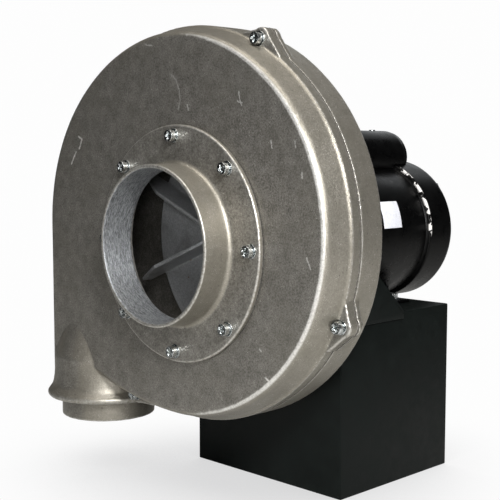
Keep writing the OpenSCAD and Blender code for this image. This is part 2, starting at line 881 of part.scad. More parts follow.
module stator_core() {
  color("#5b5e60")
  difference() {
    union() {
      shaft_ring(gap_r + air_gap, core_r, core_y0, core_y1);
      for (a = [0, 90, 180, 270])
        translate([0, 0, shaft_height]) rotate([0, -a, 0])
          span([core_r - 3, core_y0, -9], [motor_r - frame_t - 0.1, core_y1, 9]);
    }
    difference() {
      y_cyl(motor_r + 20, core_y0 - 1, core_y1 + 1);
      y_cyl(motor_r - frame_t - 0.05, core_y0 - 2, core_y1 + 2);
    }
  }
}

// End winding outline: radius and distance from the core's end
winding = [[45, 22], [57, 22], [60, 17], [60, 0.1], [43, 0.1], [43, 18]];

module stator_windings() {
  color("#9c5a2c")
  union() {
    shaft_turn([for (p = winding) [p[0], core_y0 - p[1]]]);
    shaft_turn([for (p = winding) [p[0], core_y1 + p[1]]]);
  }
}

rotor_bore = 9.5;

module rotor_core() {
  color("#777a7c")
  shaft_ring(rotor_bore + 0.02, gap_r, core_y0 - 6, core_y1 + 6);
}

module motor_shaft() {
  color("#b5b8ba")
  difference() {
    shaft_turn([[0, shaft_end_y], [shaft_r - 0.6, shaft_end_y], [shaft_r, shaft_end_y + 0.6],
                [shaft_r, front_bearing_y - 3], [bearing_bore, front_bearing_y - 3],
                [bearing_bore, front_bearing_y + bearing_w], [rotor_bore, front_bearing_y + bearing_w],
                [rotor_bore, rear_bearing_y], [bearing_bore, rear_bearing_y],
                [bearing_bore, rear_bearing_y + bearing_w + 1], [0, rear_bearing_y + bearing_w + 1]]);
    y_cyl(bolt_shank_r + run_fit, shaft_end_y - 1, shaft_end_y + 16);
    span([-key_w / 2, key_y0, shaft_height + shaft_r - 2.4], [key_w / 2, key_y1, shaft_height + shaft_r + 3]);
  }
}

race_in = 11.4;
race_out = 17.1;
ball_r = 3.4;
ball_count = 8;
groove_depth = 0.9;

// Bearing ring with a ball groove
module race(r_in, r_out, y0) {
  mid = y0 + bearing_w / 2;
  difference() {
    shaft_ring(r_in, r_out, y0, y0 + bearing_w);
    translate([0, mid, shaft_height]) rotate([-90, 0, 0]) rotate_extrude()
      translate([(race_in + race_out) / 2, 0]) circle(r = ball_r + run_fit, $fn = 48);
  }
}

module front_bearing_outer() {
  color("#a7aaac")
  race(race_out - groove_depth, bearing_r - run_fit / 5, front_bearing_y);
}

module front_bearing_inner() {
  color("#b7babc")
  race(bearing_bore + run_fit / 5, race_in + groove_depth, front_bearing_y);
}

module rear_bearing_outer() {
  color("#a7aaac")
  race(race_out - groove_depth, bearing_r - run_fit / 5, rear_bearing_y);
}

module rear_bearing_inner() {
  color("#b7babc")
  race(bearing_bore + run_fit / 5, race_in + groove_depth, rear_bearing_y);
}

module bearing_balls() {
  color("#d0d2d4")
  for (y = [front_bearing_y, rear_bearing_y]) for (i = [0:ball_count - 1]) {
    p = polar((race_in + race_out) / 2, 360 * i / ball_count);
    translate([p[0], y + bearing_w / 2, p[1]]) sphere(r = ball_r, $fn = 32);
  }
}

governor_y = core_y1 + 24;

module governor() {
  color("#c9b27a")
  shaft_turn([[rotor_bore + run_fit, governor_y], [24, governor_y], [24, governor_y + 3], [15, governor_y + 7],
              [20, governor_y + 11], [20, governor_y + 13], [rotor_bore + run_fit, governor_y + 13]]);
}

module start_switch() {
  color("#4a2f22")
  difference() {
    span([-22, governor_y + 14, shaft_height + 22], [22, governor_y + 17, shaft_height + 56]);
    y_cyl(23, governor_y + 10, governor_y + 20);
  }
}

fan_y = rear_bearing_y - 14;

module cooling_fan() {
  color("#303436")
  difference() {
    union() {
      shaft_ring(rotor_bore + 0.02, 16, fan_y - 4, fan_y + 10);
      shaft_ring(15, 58, fan_y - 4, fan_y - 1);
      for (i = [0:8])
        translate([0, 0, shaft_height]) rotate([0, -40 * i, 0])
          span([29, fan_y - 2, -1], [58, fan_y + 9, 1]);
    }
    y_cyl(rotor_bore + 0.02, fan_y - 10, fan_y + 20);
  }
}

// ---------- motor fittings ----------

cap_x = 0;
cap_r = 30;
cap_z = 81.5;
cap_y0 = -28;
cap_y1 = 124;
cap_t = 1.6;
cap_end = 20;

// Half-round canopy over the capacitor, closed by stepped round ends
module cap_outline(inset) {
  s = cap_r - inset;
  translate([cap_x, 0, shaft_height + cap_z]) rotate([-90, 0, 0]) rotate_extrude()
    polygon(concat([[0, cap_y0 + inset]],
      [for (i = [0:4]) let (a = 22.5 * i)
        [s - cap_end + cap_end * sin(a), cap_y0 + inset + cap_end - cap_end * cos(a)]],
      [for (i = [4:-1:0]) let (a = 22.5 * i)
        [s - cap_end + cap_end * sin(a), cap_y1 - inset - cap_end + cap_end * cos(a)]],
      [[0, cap_y1 - inset]]));
}

module capacitor_cover() {
  color("#101113")
  difference() {
    cap_outline(0);
    cap_outline(cap_t);
    y_cyl(motor_r + 0.05, cap_y0 - 10, frame_y1 + 0.5);
    y_cyl(bell_r + 0.05, frame_y1, motor_rear + 20);
    for (y = cap_screw_y) z_cyl(1.8, shaft_height + cap_z + 10, shaft_height + 140, cap_x, y);
  }
}

cap_screw_y = [-2, 84];

module capacitor_screws() {
  color("#2a2c2e")
  for (y = cap_screw_y) union() {
    z_cyl(1.7, shaft_height + cap_z + cap_r - 8, shaft_height + cap_z + cap_r + 0.2, cap_x, y);
    z_cyl(3.5, shaft_height + cap_z + cap_r, shaft_height + cap_z + cap_r + 0.9, cap_x, y);
  }
}

can_r = 16;
can_y0 = 8;
can_y1 = 78;
can_z = shaft_height + motor_r + can_r + 0.6;
tab_x = [-5, 5];
tab_w = 1;
tab_h = 6;
tab_len = 8;

// Run capacitor with two terminal tabs, lying on the motor frame
module capacitor() {
  color("#34383c")
  union() {
    y_cyl(can_r, can_y0, can_y1, cap_x, can_z);
    for (x = tab_x)
      span([cap_x + x - tab_w / 2, can_y1 - 1, can_z - tab_h / 2],
           [cap_x + x + tab_w / 2, can_y1 + tab_len, can_z + tab_h / 2]);
  }
}

plate_y0 = 14;
plate_y1 = 44;
plate_a0 = 5.5;
plate_a1 = 28;
plate_t = 0.6;

module rating_plate() {
  color("#d9dadb")
  translate([0, 0, shaft_height]) rotate([90, 0, 0])
    rotate_extrude(angle = plate_a1 - plate_a0, start = plate_a0)
      polygon([[motor_r, -plate_y0], [motor_r + plate_t, -plate_y0],
               [motor_r + plate_t, -plate_y1], [motor_r, -plate_y1]]);
}

module lead_grommet() {
  color("#1a1a1a")
  translate([lead_c[0], 0, lead_c[1]]) rotate([-90, 0, 0]) rotate_extrude()
    polygon([[3.2, motor_rear - 6], [5.9, motor_rear - 6], [5.9, motor_rear + 0.1], [8.5, motor_rear + 0.1],
             [7.5, motor_rear + 3], [3.2, motor_rear + 3]]);
}

front_cover();
rear_housing();
housing_gasket();
housing_screws();
housing_lock_washers();
housing_washers();
inlet_collar();
inlet_gasket();
inlet_screws();
inlet_lock_washers();
inlet_washers();
shaft_seal();
seal_retainer();
seal_screws();
impeller();
impeller_key();
impeller_bolt();
impeller_washer();
housing_bracket();
bracket_bolts();
bracket_nuts();
pad_bolts();
pad_washers();
pedestal();
motor_frame();
front_end_bell();
rear_end_bell();
through_bolts();
motor_base();
motor_bolts();
motor_washers();
motor_nuts();
stator_core();
stator_windings();
rotor_core();
motor_shaft();
front_bearing_outer();
front_bearing_inner();
rear_bearing_outer();
rear_bearing_inner();
bearing_balls();
governor();
start_switch();
cooling_fan();
capacitor_cover();
capacitor();
capacitor_screws();
rating_plate();
lead_grommet();
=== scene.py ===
"""Combustion fan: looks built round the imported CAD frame. Metres, +Z up, +Y from inlet to motor."""

import json
import math
import random

import bmesh
import bpy
from mathutils import Matrix, Vector


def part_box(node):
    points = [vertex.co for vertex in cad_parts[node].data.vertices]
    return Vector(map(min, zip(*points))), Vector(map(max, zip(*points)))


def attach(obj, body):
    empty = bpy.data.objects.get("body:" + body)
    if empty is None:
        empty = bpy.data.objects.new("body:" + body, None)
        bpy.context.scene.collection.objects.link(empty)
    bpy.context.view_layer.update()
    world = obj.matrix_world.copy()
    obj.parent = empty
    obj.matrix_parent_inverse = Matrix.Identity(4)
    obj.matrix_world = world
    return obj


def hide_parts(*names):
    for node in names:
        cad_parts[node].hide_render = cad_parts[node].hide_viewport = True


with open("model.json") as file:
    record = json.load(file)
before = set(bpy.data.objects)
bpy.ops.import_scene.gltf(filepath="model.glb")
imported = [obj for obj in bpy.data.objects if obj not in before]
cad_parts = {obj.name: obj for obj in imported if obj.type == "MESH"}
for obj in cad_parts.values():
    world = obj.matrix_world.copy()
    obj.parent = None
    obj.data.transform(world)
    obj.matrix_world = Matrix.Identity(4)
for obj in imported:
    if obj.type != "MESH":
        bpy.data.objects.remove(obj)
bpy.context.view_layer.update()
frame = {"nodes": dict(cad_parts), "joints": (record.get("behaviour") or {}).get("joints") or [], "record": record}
nodes = frame["nodes"]
slot_of = {part["node"]: part["material_slot"] for part in frame["record"]["subparts"]}

MM = 0.001
AXLE = Vector(frame["joints"][0]["pos_m"])
FACE_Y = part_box("inlet_gasket")[1].y  # the housing's flat face
INLET_BORE = 72.4  # radius inside the collar, mm
WELD = 2e-6  # vertices closer than this are one vertex

# sizes of the unevenness of a casting's skin
SWELL_SIZE = 0.030
GRAIN_SIZE = 0.0045

# degrees
FLAT_WITHIN = 0.6
BEVEL_FROM = 28
SHARP_FROM = {"cad": 32, "softened": 34, "screw": 40}

# ---------------------------------------------------------------- mesh helpers


def link(name, mesh):
    obj = bpy.data.objects.new(name, mesh)
    bpy.context.scene.collection.objects.link(obj)
    return obj


def joined_mesh(node):
    """The node's shape as a bmesh, its split vertices joined."""
    bm = bmesh.new()
    bm.from_mesh(nodes[node].data)
    bmesh.ops.remove_doubles(bm, verts=bm.verts, dist=WELD)
    return bm


def copy_of(node, name, dissolve=None):
    """A new object with the node's shape, nearly flat edges dissolved up to an angle in degrees."""
    bm = joined_mesh(node)
    if dissolve is not None:
        bmesh.ops.dissolve_limit(bm, angle_limit=math.radians(dissolve), verts=bm.verts, edges=bm.edges)
    mesh = bpy.data.meshes.new(name)
    bm.to_mesh(mesh)
    bm.free()
    return link(name, mesh)


def bake_modifiers(obj):
    """Replace obj's mesh by its evaluated one."""
    bpy.context.view_layer.update()
    evaluated = obj.evaluated_get(bpy.context.evaluated_depsgraph_get())
    mesh = bpy.data.meshes.new_from_object(evaluated)
    mesh.name = obj.name
    obj.modifiers.clear()
    obj.data = mesh


def clouds(name, size):
    texture = bpy.data.textures.get(name) or bpy.data.textures.new(name, "CLOUDS")
    texture.noise_scale = size
    texture.noise_depth = 2
    return texture


def shade_smooth(obj, angle=None):
    """Smooth shading, with edges sharper than angle (degrees) kept sharp."""
    for polygon in obj.data.polygons:
        polygon.use_smooth = True
    if angle is not None:
        obj.data.set_sharp_from_angle(angle=math.radians(angle))


def casting(name, node, voxel, faces, passes, grain, swell):
    """The node as a sand casting: edges rounded, corners filled, skin slightly uneven. Sizes in mm."""
    obj = copy_of(node, name)
    remesh = obj.modifiers.new("skin", "REMESH")
    remesh.mode = "VOXEL"
    remesh.voxel_size = voxel * MM
    smooth = obj.modifiers.new("round", "SMOOTH")
    smooth.factor = 0.5
    smooth.iterations = passes
    for label, size, strength in (("swell", SWELL_SIZE, swell), ("grain", GRAIN_SIZE, grain)):
        displace = obj.modifiers.new(label, "DISPLACE")
        displace.texture = clouds(label, size)
        displace.texture_coords = "LOCAL"
        displace.strength = strength * MM
        displace.mid_level = 0.5
    bake_modifiers(obj)
    triangles = len(obj.data.polygons) * 2
    if triangles > faces:
        thin = obj.modifiers.new("thin", "DECIMATE")
        thin.ratio = faces / triangles
        bake_modifiers(obj)
    shade_smooth(obj)
    return obj


def softened(name, node, width):
    """The node with real rounded edges, width in mm."""
    obj = copy_of(node, name, dissolve=FLAT_WITHIN)
    bevel = obj.modifiers.new("edge", "BEVEL")
    bevel.width = width * MM
    bevel.segments = 3
    bevel.limit_method = "ANGLE"
    bevel.angle_limit = math.radians(BEVEL_FROM)
    bevel.use_clamp_overlap = False
    bevel.harden_normals = False
    bevel.miter_outer = "MITER_ARC"
    bake_modifiers(obj)
    shade_smooth(obj, SHARP_FROM["softened"])
    return obj


def lathe(bm, outline, seg):
    """Turn a closed outline of (radius, height) about +Z. Gives the new vertices."""
    rings = []
    for r, h in outline:
        if r == 0:
            rings.append([bm.verts.new((0, 0, h))])
            continue
        angles = [2 * math.pi * k / seg for k in range(seg)]
        rings.append([bm.verts.new((r * math.cos(a), r * math.sin(a), h)) for a in angles])
    for i, low in enumerate(rings):
        high = rings[(i + 1) % len(rings)]
        if len(low) == 1 and len(high) == 1:
            continue
        for k in range(seg):
            k2 = (k + 1) % seg
            corners = [low[k % len(low)], low[k2 % len(low)], high[k2 % len(high)], high[k % len(high)]]
            bm.faces.new(list(dict.fromkeys(corners)))
    return [vertex for ring in rings for vertex in ring]


def along_y(x, y, z, spin):
    """Lays a turned piece's +Z along +Y, its origin at a point."""
    lay = Matrix.Rotation(math.radians(-90), 4, "X")
    return Matrix.Translation((x, y, z)) @ lay @ Matrix.Rotation(spin, 4, "Z")


def settle(obj, body, node, material):
    """Give a new piece its body and its material, and hide the CAD node it stands for."""
    obj.data.materials.clear()
    obj.data.materials.append(MAT[material])
    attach(obj, body)
    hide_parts(node)


# ---------------------------------------------------------------- material helpers


def scaled(colour, factor):
    return tuple(c * factor for c in colour)


class Tree:
    """A small builder for one node material. Lengths with _mm are in millimetres."""

    def __init__(self, name):
        self.mat = bpy.data.materials.new(name)
        self.mat.use_nodes = True
        self.t = self.mat.node_tree
        self.t.nodes.clear()
        self.out = self.t.nodes.new("ShaderNodeOutputMaterial")
        self.coord = self.t.nodes.new("ShaderNodeTexCoord").outputs["Object"]

    def feed(self, socket, value):
        """Link a socket, or give it a plain value."""
        if isinstance(value, bpy.types.NodeSocket):
            self.t.links.new(value, socket)
        else:
            socket.default_value = value

    def put(self, kind, ins=(), **attrs):
        node = self.t.nodes.new(kind)
        for key, value in attrs.items():
            setattr(node, key, value)
        for key, value in dict(ins).items():
            self.feed(node.inputs[key], value)
        return node

    def noise(self, size_mm, detail=3.0, rough=0.55, coord=None, distort=0.0):
        ins = {"Scale": 1000.0 / size_mm, "Detail": detail, "Roughness": rough, "Distortion": distort}
        ins["Vector"] = coord or self.coord
        return self.put("ShaderNodeTexNoise", ins).outputs["Fac"]

    def stretch(self, scale):
        return self.put("ShaderNodeMapping", {"Vector": self.coord, "Scale": scale}).outputs["Vector"]

    def ramp(self, value, lo, hi, out_lo=0.0, out_hi=1.0):
        """A soft step from out_lo at lo to out_hi at hi. With lo above hi it falls as value grows."""
        ins = {"Value": value, "From Min": lo, "From Max": hi, "To Min": out_lo, "To Max": out_hi}
        node = self.put("ShaderNodeMapRange", ins, interpolation_type="SMOOTHSTEP", clamp=True)
        return node.outputs["Result"]

    def math(self, op, a, b=0.0, clamp=False):
        return self.put("ShaderNodeMath", {0: a, 1: b}, operation=op, use_clamp=clamp).outputs[0]

    def times(self, first, *rest):
        for factor in rest:
            first = self.math("MULTIPLY", first, factor)
        return first

    def vector(self, op, a, b):
        """Vector arithmetic. For SCALE, b is a number."""
        ins = {0: a, "Scale" if op == "SCALE" else 1: b}
        return self.put("ShaderNodeVectorMath", ins, operation=op).outputs[0]

    def dot(self, a, b):
        return self.put("ShaderNodeVectorMath", {0: a, 1: b}, operation="DOT_PRODUCT").outputs["Value"]

    def length(self, a):
        return self.put("ShaderNodeVectorMath", {0: a}, operation="LENGTH").outputs["Value"]

    def xyz(self, vector):
        return self.put("ShaderNodeSeparateXYZ", {0: vector}).outputs

    def place(self):
        return self.xyz(self.coord)

    def facing(self):
        return self.xyz(self.put("ShaderNodeNewGeometry").outputs["Normal"])

    def mix(self, fac, a, b):
        node = self.put("ShaderNodeMix", data_type="RGBA")
        for key, value in ((0, fac), (6, a), (7, b)):
            self.feed(node.inputs[key], (*value, 1.0) if isinstance(value, tuple) else value)
        return node.outputs[2]

    def wear(self, lo, hi):
        """1 on raised edges."""
        return self.ramp(self.put("ShaderNodeNewGeometry").outputs["Pointiness"], lo, hi)

    def bump(self, height, distance_mm, strength):
        ins = {"Height": height, "Distance": distance_mm * MM, "Strength": strength}
        return self.put("ShaderNodeBump", ins).outputs["Normal"]

    def done(self, **ins):
        """Close the tree with a Principled shader; Base_Color=... sets its Base Color."""
        shader = self.put("ShaderNodeBsdfPrincipled", {key.replace("_", " "): v for key, v in ins.items()})
        self.t.links.new(shader.outputs[0], self.out.inputs["Surface"])
        return self.mat


def near_line(t, points, width_mm, where):
    """1 on a polyline of (x, z) points, in mm about the axle, falling to 0 at its width."""
    best = None
    for (x0, z0), (x1, z1) in zip(points[:-1], points[1:]):
        start = Vector((x0 * MM + AXLE.x, 0, z0 * MM + AXLE.z))
        leg = Vector((x1 * MM + AXLE.x, 0, z1 * MM + AXLE.z)) - start
        away = t.vector("SUBTRACT", where, start)
        share = t.math("ADD", t.dot(away, leg / leg.length_squared), 0.0, clamp=True)
        distance = t.length(t.vector("SUBTRACT", away, t.vector("SCALE", leg, share)))
        best = distance if best is None else t.math("MINIMUM", best, distance)
    return t.ramp(best, width_mm * MM, 0.0)


# ---------------------------------------------------------------- cast aluminium

CAST_DARK = (0.100, 0.094, 0.083)
CAST_LIGHT = (0.285, 0.273, 0.248)
# colour of the painted light on the bands and walls that face away from the flat face
CAST_SIDE_SHEEN = (0.275, 0.252, 0.205)
CAST_STAIN = (0.165, 0.155, 0.125)
CLEAN_GRAIN = (0.70, 0.69, 0.66)
PIT = (0.035, 0.033, 0.03)
WORN_METAL = (0.80, 0.79, 0.76)
# colour of the painted highlight along the face's rounded edge
PAINTED_HIGHLIGHT_METAL = (0.86, 0.85, 0.82)
SCRATCH_METAL = (0.78, 0.77, 0.74)
BORE_DARK = (0.13, 0.135, 0.14)
BORE_LIGHT = (0.48, 0.495, 0.51)

# Scratches on the housing's face: (x, z) points in mm about the axle, width in mm, strength
SCRATCHES = (
    (((-161, 103.5), (-155, 100.5), (-160, 91)), 1.3, 0.75),
    (((-166, 87.5), (-174.5, 75)), 1.2, 0.85),
    (((81, 140), (82, 134), (84.5, 128.5)), 0.9, 0.5),
    (((79, 132), (85.5, 130)), 0.8, 0.45),
    (((121, 97), (122, 90.5)), 0.9, 0.6),
    (((149, 96), (149.7, 91)), 0.9, 0.5),
    (((157, 69.5), (157.5, 65)), 1.0, 0.6),
    (((-10.5, 160), (-3.5, 154.5), (0.7, 145), (2, 136), (-1, 126.5)), 1.1, 0.22),
    (((-49, 190.5), (-38, 189)), 1.0, 0.4),
    (((163, -2), (167.5, -11)), 0.9, 0.5),
    (((12, 131), (13.5, 126)), 0.9, 0.45),
    (((115, -112), (118, -114)), 1.3, 0.8),
    (((107.5, -87.5), (109, -88.5)), 1.1, 0.5),
    (((30.4, -100.5), (31.3, -105.8)), 0.9, 0.5),
)
SCRATCH_WIDEN = 1.35
SCRATCH_GAIN = 1.25
SCRATCH_WOBBLE = 0.0022  # how far noise bends a scratch, metres


def painted_highlight_band(t, pos, aim, skin):
    """A painted highlight where the flat face starts to turn into its rounded edge, on the side that leans to +X.
    """
    turn = t.times(t.ramp(aim["Y"], -0.998, -0.972), t.ramp(aim["Y"], -0.70, -0.88))
    off_face = t.math("ABSOLUTE", t.math("SUBTRACT", pos["Y"], FACE_Y))
    near = t.times(t.ramp(off_face, 4 * MM, 3 * MM), t.ramp(pos["X"], -0.11, -0.09))
    return t.times(turn, near, t.ramp(aim["X"], 0.03, 0.12), t.ramp(skin, 0.28, 0.62, 0.45, 1.0))


def scratch_mask(t, pos):
    flat = t.put("ShaderNodeCombineXYZ", {"X": pos["X"], "Y": 0.0, "Z": pos["Z"]}).outputs[0]
    wobble = t.put("ShaderNodeTexNoise", {"Scale": 350.0, "Vector": t.coord}).outputs["Color"]
    shift = t.vector("SCALE", t.vector("SUBTRACT", wobble, (0.5, 0.5, 0.5)), SCRATCH_WOBBLE)
    where = t.vector("MULTIPLY", t.vector("ADD", flat, shift), (1.0, 0.0, 1.0))
    total = None
    for points, width, strength in SCRATCHES:
        line = near_line(t, points, width * SCRATCH_WIDEN, where)
        line = t.times(line, min(1.0, strength * SCRATCH_GAIN))
        total = line if total is None else t.math("MAXIMUM", total, line)
    on_face = t.ramp(pos["Y"], FACE_Y + 2 * MM, FACE_Y + 1 * MM)
    return t.times(total, on_face, t.ramp(t.noise(1.6, 2), 0.25, 0.5))


def bore_skin(t, pos, bore):
    """The machined inside of a collar, bluish with chatter lines: its mask, its colour, its streaks."""
    up = t.math("SUBTRACT", pos["Z"], AXLE.z)
    radius = t.math("SQRT", t.math("ADD", t.times(pos["X"], pos["X"]), t.times(up, up)))
    inside = t.ramp(radius, (bore + 0.7) * MM, (bore + 0.3) * MM)
    streak = t.noise(2.2, 4, 0.75, coord=t.stretch((0.45, 2.0, 0.45)), distort=0.8)
    return inside, t.mix(t.ramp(streak, 0.35, 0.66), BORE_DARK, BORE_LIGHT), streak


def cast_aluminium(name, tone=1.0, scratched=False, bore=None):
    """Sand-cast skin. bore is the radius in mm of a machined inside, if the piece has one."""
    t = Tree(name)
    pos = t.place()
    aim = t.facing()
    broad = t.noise(70, 3, 0.6)
    patch = t.noise(11, 4, 0.6)
    grain = t.noise(1.7, 4, 0.72)
    fine = t.noise(0.8, 2, 0.6)
    skin = t.math("ADD", t.times(grain, 0.75), t.times(patch, 0.25))
    col = t.mix(t.ramp(skin, 0.30, 0.70), scaled(CAST_DARK, tone), scaled(CAST_LIGHT, tone))
    # the turned bands and the walls get a lighter, warmer colour than the flat faces: painted light on what faces
    # away from -Y
    turned = t.math("SUBTRACT", 1.0, t.ramp(aim["Y"], -0.90, -0.97))
    col = t.mix(t.times(turned, 0.55), col, scaled(CAST_SIDE_SHEEN, tone))
    col = t.mix(t.ramp(broad, 0.40, 0.7, 0.0, 0.25), col, scaled(CAST_STAIN, tone))
    # bright grains of clean metal and small dark pits
    glint = t.times(t.ramp(fine, 0.62, 0.70), t.ramp(patch, 0.40, 0.60))
    col = t.mix(t.times(glint, 0.65), col, CLEAN_GRAIN)
    col = t.mix(t.times(t.ramp(t.noise(2.6, 1, 0.4), 0.28, 0.22), 0.5), col, PIT)
    # handling wear on raised edges
    worn = t.times(t.wear(0.508, 0.535), t.ramp(t.noise(3.5, 3, 0.65), 0.28, 0.60))
    col = t.mix(t.times(worn, 0.42), col, WORN_METAL)
    # painted highlight along the rounded edge of the face, on its +X side
    col = t.mix(t.times(painted_highlight_band(t, pos, aim, skin), 0.75), col, PAINTED_HIGHLIGHT_METAL)
    rough = t.math("SUBTRACT", t.ramp(grain, 0.25, 0.75, 0.34, 0.50), t.times(worn, 0.10))
    height = t.math("ADD", t.times(grain, 0.65), t.times(fine, 0.35))
    if bore:
        inside, bore_colour, streak = bore_skin(t, pos, bore)
        col = t.mix(inside, col, bore_colour)
        height = t.math("ADD", height, t.times(inside, streak, 1.4))
    if scratched:
        col = t.mix(scratch_mask(t, pos), col, SCRATCH_METAL)
    normal = t.bump(height, 0.46, 0.85)
    return t.done(Base_Color=col, Metallic=0.75, Roughness=rough, Normal=normal, IOR=1.5)


# ---------------------------------------------------------------- other materials


def impeller_metal():
    """Cleaner cast metal with worn edges and spots of rust."""
    t = Tree("impeller_metal")
    grain = t.noise(1.6, 4, 0.65)
    broad = t.noise(28, 3, 0.6)
    col = t.mix(t.ramp(grain, 0.3, 0.7), (0.33, 0.34, 0.35), (0.52, 0.53, 0.54))
    col = t.mix(t.ramp(broad, 0.45, 0.75, 0, 0.45), col, (0.16, 0.157, 0.148))
    col = t.mix(t.times(t.wear(0.52, 0.58), 0.8), col, (0.68, 0.69, 0.70))
    rust = t.times(t.ramp(t.noise(9, 4, 0.7), 0.66, 0.72), 0.8)
    col = t.mix(rust, col, (0.20, 0.085, 0.03))
    rough = t.ramp(grain, 0.2, 0.8, 0.36, 0.52)
    return t.done(Base_Color=col, Metallic=0.45, Roughness=rough, Normal=t.bump(grain, 0.18, 0.7))


def zinc():
    """Bright zinc plate, with a painted dark reflection and shade on what faces the front."""
    t = Tree("zinc_plate")
    grain = t.noise(0.8, 3, 0.6)
    stain = t.noise(4, 3, 0.6)
    col = t.mix(t.ramp(grain, 0.3, 0.7), (0.50, 0.53, 0.54), (0.80, 0.82, 0.82))
    col = t.mix(t.ramp(stain, 0.5, 0.75, 0, 0.35), col, (0.28, 0.30, 0.24))
    # painted dark reflection and shade on the faces of the heads that look to the front
    painted_dark_reflection = t.times(t.ramp(t.facing()["Y"], -0.80, -0.95), t.ramp(t.noise(1.4, 2, 0.6), 0.62, 0.52))
    col = t.mix(t.times(painted_dark_reflection, 0.9), col, (0.045, 0.055, 0.055))
    rough = t.ramp(stain, 0.3, 0.7, 0.18, 0.34)
    return t.done(Base_Color=col, Metallic=1.0, Roughness=rough, Normal=t.bump(grain, 0.03, 0.5))


def steel(name, colour, rough, turned=False):
    """Bare machined metal; turned gives it fine rings along Y."""
    t = Tree(name)
    lines = t.noise(0.7, 2, 0.5, coord=t.stretch((1.0, 14.0, 1.0)) if turned else None)
    blot = t.noise(7, 3, 0.6)
    col = t.mix(t.ramp(lines, 0.3, 0.7), scaled(colour, 0.72), colour)
    col = t.mix(t.ramp(blot, 0.5, 0.8, 0, 0.3), col, scaled(colour, 0.4))
    roughness = t.ramp(lines, 0.2, 0.8, rough - 0.08, rough + 0.1)
    return t.done(Base_Color=col, Metallic=1.0, Roughness=roughness, Normal=t.bump(lines, 0.03, 0.5))


def stacked_sheet():
    """Laminations 1 mm apart along Y."""
    t = Tree("laminations")
    comb = t.math("PINGPONG", t.times(t.place()["Y"], 1000.0), 0.5)
    col = t.mix(t.ramp(comb, 0.05, 0.25), (0.03, 0.03, 0.032), (0.22, 0.225, 0.23))
    col = t.mix(t.ramp(t.noise(6), 0.45, 0.7, 0, 0.5), col, (0.07, 0.065, 0.06))
    return t.done(Base_Color=col, Metallic=0.8, Roughness=0.5, Normal=t.bump(comb, 0.15, 0.6))


def wound_copper():
    t = Tree("copper_winding")
    ins = {"Vector": t.coord, "Scale": 260.0, "Distortion": 2.5, "Detail": 2.0, "Detail Scale": 1.5}
    strands = t.put("ShaderNodeTexWave", ins, wave_type="RINGS").outputs["Fac"]
    col = t.mix(t.ramp(strands, 0.2, 0.8), (0.16, 0.045, 0.015), (0.62, 0.25, 0.09))
    col = t.mix(t.ramp(t.noise(9), 0.4, 0.7, 0, 0.4), col, (0.12, 0.04, 0.015))
    enamel = {"Coat_Weight": 0.5, "Coat_Roughness": 0.2}
    return t.done(Base_Color=col, Metallic=0.6, Roughness=0.3, Normal=t.bump(strands, 0.3, 0.7), **enamel)


def painted_lip_glints(t, lip_y):
    """Painted glints, bright spots standing for highlights, along the end bell's turned shoulder, on its +X side
    above the axle. lip_y in mm.
    """
    pos = t.place()
    off = t.math("ABSOLUTE", t.math("SUBTRACT", pos["Y"], lip_y * MM))
    band = t.ramp(off, GLINT_REACH * MM, GLINT_REACH * 0.4 * MM)
    spots = t.ramp(t.noise(9, 2, 0.6), 0.50, 0.53)
    above = t.ramp(pos["Z"], AXLE.z - 0.006, AXLE.z + 0.002)
    return t.times(band, spots, t.ramp(pos["X"], 0.030, 0.036), above)


def paint(name, colour, rough, peel, lip_y=None):
    """Paint with orange peel of a depth in mm, and dust."""
    t = Tree(name)
    orange = t.noise(2.4, 2, 0.5)
    dust = t.noise(16, 4, 0.65)
    fine = t.noise(1.1, 3, 0.6)
    col = t.mix(t.ramp(dust, 0.35, 0.75), colour, tuple(c * 1.5 + 0.0006 for c in colour))
    col = t.mix(t.ramp(fine, 0.68, 0.76, 0, 0.12), col, (0.05, 0.052, 0.048))
    if lip_y is not None:
        # painted glints along the end bell's shoulder
        col = t.mix(painted_lip_glints(t, lip_y), col, (0.72, 0.70, 0.68))
    roughness = t.ramp(dust, 0.3, 0.7, rough - 0.05, rough + 0.07)
    normal = t.bump(t.math("ADD", orange, t.times(fine, 0.3)), peel, 0.7)
    return t.done(Base_Color=col, Metallic=0.0, Roughness=roughness, Specular_IOR_Level=0.12, Normal=normal)


def rubber(name, colour, rough):
    """Any dull non-metal: rubber, gasket sheet, moulded plastic."""
    t = Tree(name)
    fine = t.noise(0.9, 3, 0.65)
    blot = t.noise(8, 3, 0.6)
    col = t.mix(t.ramp(fine, 0.3, 0.7), scaled(colour, 0.6), scaled(colour, 1.4))
    col = t.mix(t.ramp(blot, 0.5, 0.75, 0, 0.4), col, scaled(colour, 0.5))
    roughness = t.ramp(blot, 0.3, 0.7, rough - 0.08, rough + 0.08)
    return t.done(Base_Color=col, Roughness=roughness, Normal=t.bump(fine, 0.08, 0.7))


def label_film():
    t = Tree("label_film")
    fibre = t.noise(1.2, 3, 0.6)
    grime = t.noise(9, 4, 0.6)
    col = t.mix(t.ramp(fibre, 0.3, 0.7), (0.60, 0.61, 0.66), (0.72, 0.73, 0.78))
    col = t.mix(t.ramp(grime, 0.48, 0.75, 0, 0.35), col, (0.38, 0.37, 0.36))
    rough = t.ramp(grime, 0.3, 0.7, 0.32, 0.48)
    return t.done(Base_Color=col, Roughness=rough, Normal=t.bump(fibre, 0.02, 0.5))


MOTOR_BLACK = (0.0008, 0.0008, 0.0008)
BELL_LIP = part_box("rear_end_bell")[0].y / MM + 7.5  # y of the end bell's turned shoulder, mm
GLINT_REACH = 2.2  # how far the painted glints reach from it, mm
